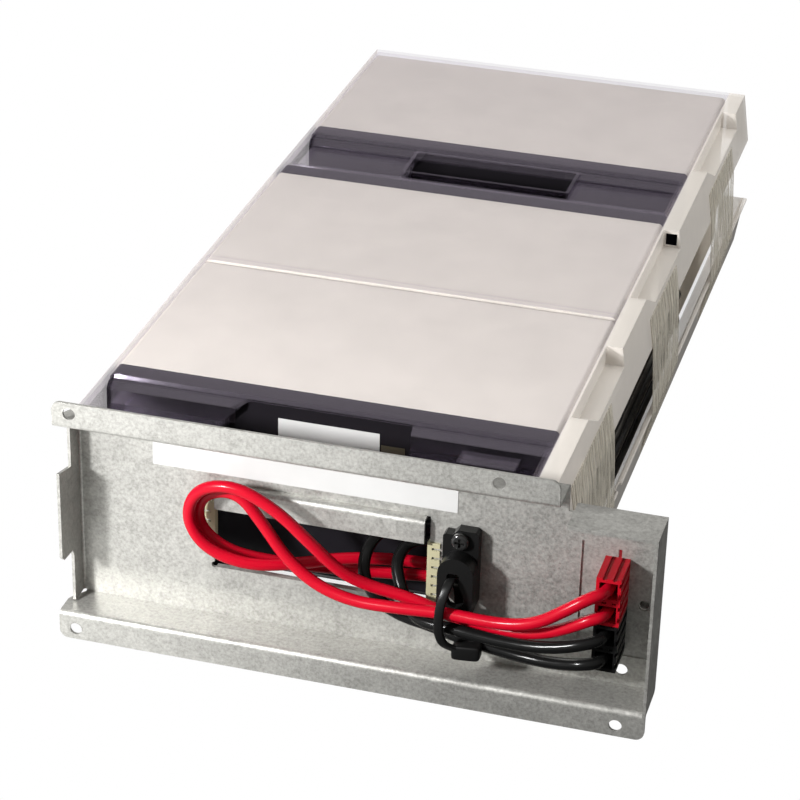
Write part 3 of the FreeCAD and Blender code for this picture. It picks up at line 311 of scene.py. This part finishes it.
# Each rounded piece: its node, the radius, the steps round it, and how far it is drawn in.
ROUNDED = {
    "formed_clear_cover": ("top_cover", 0.5, 3),
    "formed_clear_tray": ("bottom_tray", 0.4, 3),
    "eased_bracket": ("front_bracket", 0.18, 2),
    "eased_saddle": ("cable_saddle", 0.35, 2),
}
for kind, radius in (("lid", 0.5), ("case", 0.25)):
    for number in (1, 2, 3):
        ROUNDED["eased_%s_%d" % (kind, number)] = (
            "battery_%s_%d" % (kind, number), radius, 2, DRAWN_IN)
for name, sizes in ROUNDED.items():
    rounded(name, *sizes)


def closed_path(points, steps):
    """A closed smooth line through points, steps to each: between two of them it is the cubic
    whose slope at each is half the chord between that point's two neighbours."""
    points = np.asarray(points, dtype=float)[:, None]
    after = np.roll(points, -1, 0)
    slope = (after - np.roll(points, 1, 0)) / 2.0
    t = (np.arange(steps) / steps)[None, :, None]
    line = ((2 * t**3 - 3 * t**2 + 1) * points + (t**3 - 2 * t**2 + t) * slope
            + (3 * t**2 - 2 * t**3) * after + (t**3 - t**2) * np.roll(slope, -1, 0))
    return line.reshape(-1, 3)


def grid_faces(rows, columns, close_rows, start=0):
    """Quads of a grid of points whose rows are rings, and whose last row meets the first where
    close_rows says so. Each quad joins a point, the next one round, and the two beyond them."""
    row = np.arange(rows if close_rows else rows - 1)[:, None]
    column = np.arange(columns)[None, :]
    here, beyond = row * columns, (row + 1) % rows * columns
    after = (column + 1) % columns
    quads = np.stack((here + column, here + after, beyond + after, beyond + column), -1)
    return (start + quads).reshape(-1, 4).tolist()


def rounded_power(angle, power):
    """Cosine and sine of an angle, each raised to a power with its own sign kept."""
    c, s = np.cos(angle), np.sin(angle)
    return np.sign(c) * np.abs(c)**power, np.sign(s) * np.abs(s)**power


def strap_tie():
    """The tie, swept round the leads and through the eye, and its head. A point of the strap is
    a point of the route, plus half the width along the side times the cosine of the angle
    round it, plus half the thickness outwards times the sine, both to the power of squared.
    A point of the head is half its size across and half its depth, times the cosine of its
    level and the cosine or the sine of its turn, and half its height times the sine of its
    level, all to the power of head_squared. Its height then gains lean times its place across."""
    route = [(128.4, -7.6, 42.4), (128.2, -10.8, 44.5), (127.6, -13.5, 43.5),
             (126.8, -15.6, 40.2), (126.2, -16.5, 36.2), (126.0, -16.7, 32.0),
             (126.2, -16.5, 28.0), (127.2, -15.7, 24.4), (129.2, -14.4, 22.2),
             (132.0, -12.6, 20.6), (131.6, -8.0, 18.6), (130.2, -4.6, 20.0),
             (129.2, -3.2, 26.0), (129.0, -3.2, 34.0), (128.8, -4.8, 39.6)]
    half_width, half_thick, squared, ring = 1.5, 0.7, 0.5, 16
    across = np.array([1.0, 0.0, 0.18])
    path = closed_path(route, 10)
    run = np.roll(path, -1, 0) - np.roll(path, 1, 0)
    run /= np.linalg.norm(run, axis=1)[:, None]
    side = across - run * (run @ across)[:, None]
    side /= np.linalg.norm(side, axis=1)[:, None]
    out = np.cross(run, side)
    c, s = rounded_power(np.linspace(0, 2 * np.pi, ring, endpoint=False), squared)
    strap = (path[:, None] + side[:, None] * (half_width * c)[None, :, None]
             + out[:, None] * (half_thick * s)[None, :, None]).reshape(-1, 3)

    half_head, middle = (4.7, 2.3, 2.6), (134.4, -12.4, 20.4)
    head_squared, lean, levels, turns = 0.3, 0.08, 17, 32
    cu, su = rounded_power(np.linspace(-np.pi / 2, np.pi / 2, levels), head_squared)
    ct, st = rounded_power(np.linspace(0, 2 * np.pi, turns, endpoint=False), head_squared)
    head = np.stack([half_head[0] * cu[:, None] * ct, half_head[1] * cu[:, None] * st,
                     half_head[2] * su[:, None] + 0 * ct], -1)
    head[..., 2] += lean * head[..., 0]
    head += middle

    faces = (grid_faces(len(path), ring, True)
             + grid_faces(levels, turns, False, len(strap)))
    mesh = bpy.data.meshes.new("strap_tie")
    mesh.from_pydata(metres(np.r_[strap, head.reshape(-1, 3)]).tolist(), [], faces)
    mesh.polygons.foreach_set("use_smooth", np.ones(len(mesh.polygons), bool))
    add_piece("strap_tie", mesh, "cable_tie")


strap_tie()

# ------------------------------------------------------------------ leads
LEAD = 0.0040      # metres across the insulation
RED_UPPER = [
    (178.55, -7.2, 51.6), (178.55, -14.2, 51.6),
    (174.2, -17.8, 51.2), (166.8, -18.8, 45.8), (157.5, -17.4, 38.2), (147.5, -15.6, 34.8),
    (137, -14.2, 33.8), (128, -13, 33.6), (111, -12.6, 32), (96, -11.4, 30.9), (83, -9.8, 33.8),
    (72.5, -8.2, 41.2), (65, -7.4, 51.5), (56, -6.9, 62), (43.5, -6, 58), (41.8, -5.4, 46.5),
    (50.5, -4.6, 38), (62, 1.2, 32.6), (78, 8.5, 28.8), (95, 13, 27.6), (111, 16.3, 27.3),
    (123.5, 17.9, 27.3), (129.5, 17.9, 27.3),
]
RED_LOWER = [
    (178.55, -7.2, 43.2), (178.55, -14.2, 43.2),
    (174.2, -16.2, 42.2), (167.5, -15.4, 37.6), (160.5, -13.2, 33), (152, -11, 29.6),
    (141, -8.8, 28), (130, -7.2, 28.4), (120, -6.6, 31.2), (110, -6.3, 33.2), (100, -7.9, 35.6),
    (91.5, -10.8, 40.8), (82, -12.8, 51), (71, -12.5, 60.5), (57, -12.2, 66.8),
    (44, -10.8, 62.8), (39.8, -10.5, 51.5), (46, -10.2, 40.6), (60, -9, 36),
    (74, -3, 35.6), (88, 5.5, 35.8), (103, 11.5, 34.8), (115, 15.2, 33),
    (123.5, 17.9, 32.7), (129.5, 17.9, 32.7),
]
BLACK_UPPER = [
    (178.55, -7.2, 34.8), (178.55, -14.2, 34.8),
    (173.5, -17.6, 34), (165, -17, 30.6), (155, -15.4, 28), (142, -13.8, 27.2),
    (130, -12.2, 27.6), (121.6, -10.4, 26.8), (116.6, -8, 26.6), (113, -4.4, 27.8),
    (109, -0.6, 32.6), (105.5, 5, 38.6), (109, 13, 43.6), (119, 13, 43.6),
]
BLACK_LOWER = [
    (178.55, -7.2, 26.4), (178.55, -14.2, 26.4),
    (173.5, -17, 26), (164.5, -14, 22.6), (154.5, -10.8, 20.6), (144, -9, 20.6),
    (130, -7.4, 21.8), (120.5, -5.5, 23.2), (112, -4.2, 23.6), (105, -3.8, 26.2),
    (99, -3.5, 32), (96, -0.5, 38.4), (97.5, 6.5, 45.4), (107, 13, 50.2), (119, 13, 50.2),
]


def lead(name, node, route):
    """A round lead on one NURBS line through its route, as thick as its insulation."""
    curve = bpy.data.curves.new(name, "CURVE")
    curve.dimensions = "3D"
    curve.bevel_depth = LEAD / 2
    curve.bevel_resolution = 6
    curve.resolution_u = 10
    curve.use_fill_caps = True
    spline = curve.splines.new("NURBS")
    points = metres(route)
    spline.points.add(len(points) - 1)
    spline.points.foreach_set("co", np.c_[points, np.ones(len(points))].ravel())
    spline.order_u = 3
    spline.use_endpoint_u = True
    piece = add_piece(name, curve, node)


lead("looped_red_lead_upper", "red_lead_upper", RED_UPPER)
lead("looped_red_lead_lower", "red_lead_lower", RED_LOWER)
lead("black_return_lead_upper", "black_lead_upper", BLACK_UPPER)
lead("black_return_lead_lower", "black_lead_lower", BLACK_LOWER)


# ------------------------------------------------------------------ camera, light and floor
def place_camera():
    """A long lens, above and to the right of the front, turned a little about its axis."""
    turn, rise, roll = (math.radians(a) for a in (15.27, 27.9, 1.51))
    place, lens, sensor = (0.20958, -0.88643, 0.49655), 123.54, 36.0
    back = Vector((math.sin(turn) * math.cos(rise), -math.cos(turn) * math.cos(rise),
                   math.sin(rise)))
    right = Vector((math.cos(turn), math.sin(turn), 0.0))
    up = back.cross(right)
    across = math.cos(roll) * right + math.sin(roll) * up
    over = math.cos(roll) * up - math.sin(roll) * right
    camera = bpy.data.objects.new("camera", bpy.data.cameras.new("camera"))
    camera.data.sensor_width = sensor
    camera.data.lens = lens
    camera.data.clip_start, camera.data.clip_end = 0.05, 20.0
    bpy.context.collection.objects.link(camera)
    turned = Matrix((across, over, back)).transposed().to_4x4()
    camera.matrix_world = Matrix.Translation(place) @ turned
    bpy.context.scene.camera = camera


def soft_light(name, place, target, size, power, mirrored):
    """A square area light at place that looks at target, unseen by the camera. Only one that
    is mirrored shows in glossy faces."""
    light = bpy.data.lights.new(name, "AREA")
    light.shape = "SQUARE"
    light.size = size
    light.energy = power
    piece = bpy.data.objects.new(name, light)
    bpy.context.collection.objects.link(piece)
    piece.location = place
    aim = Vector(target) - Vector(place)
    piece.rotation_euler = aim.to_track_quat("-Z", "Y").to_euler()
    piece.visible_camera = False
    piece.visible_glossy = mirrored


def flat_plane(name, half, height, material):
    """A square sheet of the stage at one height, twice half across."""
    mesh = bpy.data.meshes.new(name)
    corners = [(-half, -half, height), (half, -half, height), (half, half, height),
               (-half, half, height)]
    mesh.from_pydata(corners, [], [(0, 1, 2, 3)])
    mesh.materials.append(material)
    piece = bpy.data.objects.new(name, mesh)
    bpy.context.collection.objects.link(piece)
    return piece


def glow_all_round():
    """The world's soft glow: its strength climbs towards the upper left, at the front."""
    brightest = (-0.62, -0.35, 0.70)
    world = bpy.data.worlds.new("studio")
    bpy.context.scene.world = world
    world.use_nodes = True
    tree = world.node_tree
    background = tree.nodes["Background"]
    towards = tree.nodes.new("ShaderNodeVectorMath")
    towards.operation = "DOT_PRODUCT"
    tree.links.new(tree.nodes.new("ShaderNodeTexCoord").outputs["Generated"], towards.inputs[0])
    towards.inputs[1].default_value = brightest
    strength = map_range(tree, towards.outputs["Value"], 0.27, 0.6, -0.7, 1.0)
    tree.links.new(strength, background.inputs["Strength"])
    background.inputs["Color"].default_value = (1.0, 0.985, 0.96, 1.0)


def white_floor():
    """A floor that only glows, for the camera alone: it lights, mirrors and shades nothing."""
    pale = Finish("pale_floor", (0.0, 0.0, 0.0), 0.9, Specular_IOR_Level=0.0)
    pale.set("Emission Color", (1.0, 1.0, 1.0, 1.0))
    pale.set("Emission Strength", 1.0)
    floor = flat_plane("floor", 6.0, -0.0005, pale.done())
    floor.visible_glossy = False
    floor.visible_diffuse = False
    floor.visible_shadow = False


def graded_card():
    """A card under the floor for the reflections, bright on the left and dark on the right."""
    bright, dark, left, right = 1.6, 0.02, -0.12, 0.03
    graded = Finish("graded_card", (0.0, 0.0, 0.0), 1.0)
    graded.set("Emission Color", (1.0, 1.0, 0.98, 1.0))
    graded.join(graded.range(graded.axis("X"), bright, dark, left, right), "Emission Strength")
    card = flat_plane("card", 3.0, -0.001, graded.done())
    card.visible_camera = False


def studio():
    """A glow all round, three soft lights, a white floor and a card to be mirrored."""
    glow_all_round()
    soft_light("key", (-0.27, -0.50, 0.25), (0.0, -0.15, 0.04), 0.05, 4.8, True)
    soft_light("fill", (0.9, 0.15, 0.35), (0.05, 0.0, 0.04), 0.6, 4.0, False)
    soft_light("top", (-0.1, 0.45, 1.1), (0.0, 0.05, 0.05), 0.8, 3.6, False)
    white_floor()
    graded_card()
    bpy.context.scene.view_settings.view_transform = "Standard"


place_camera()
studio()
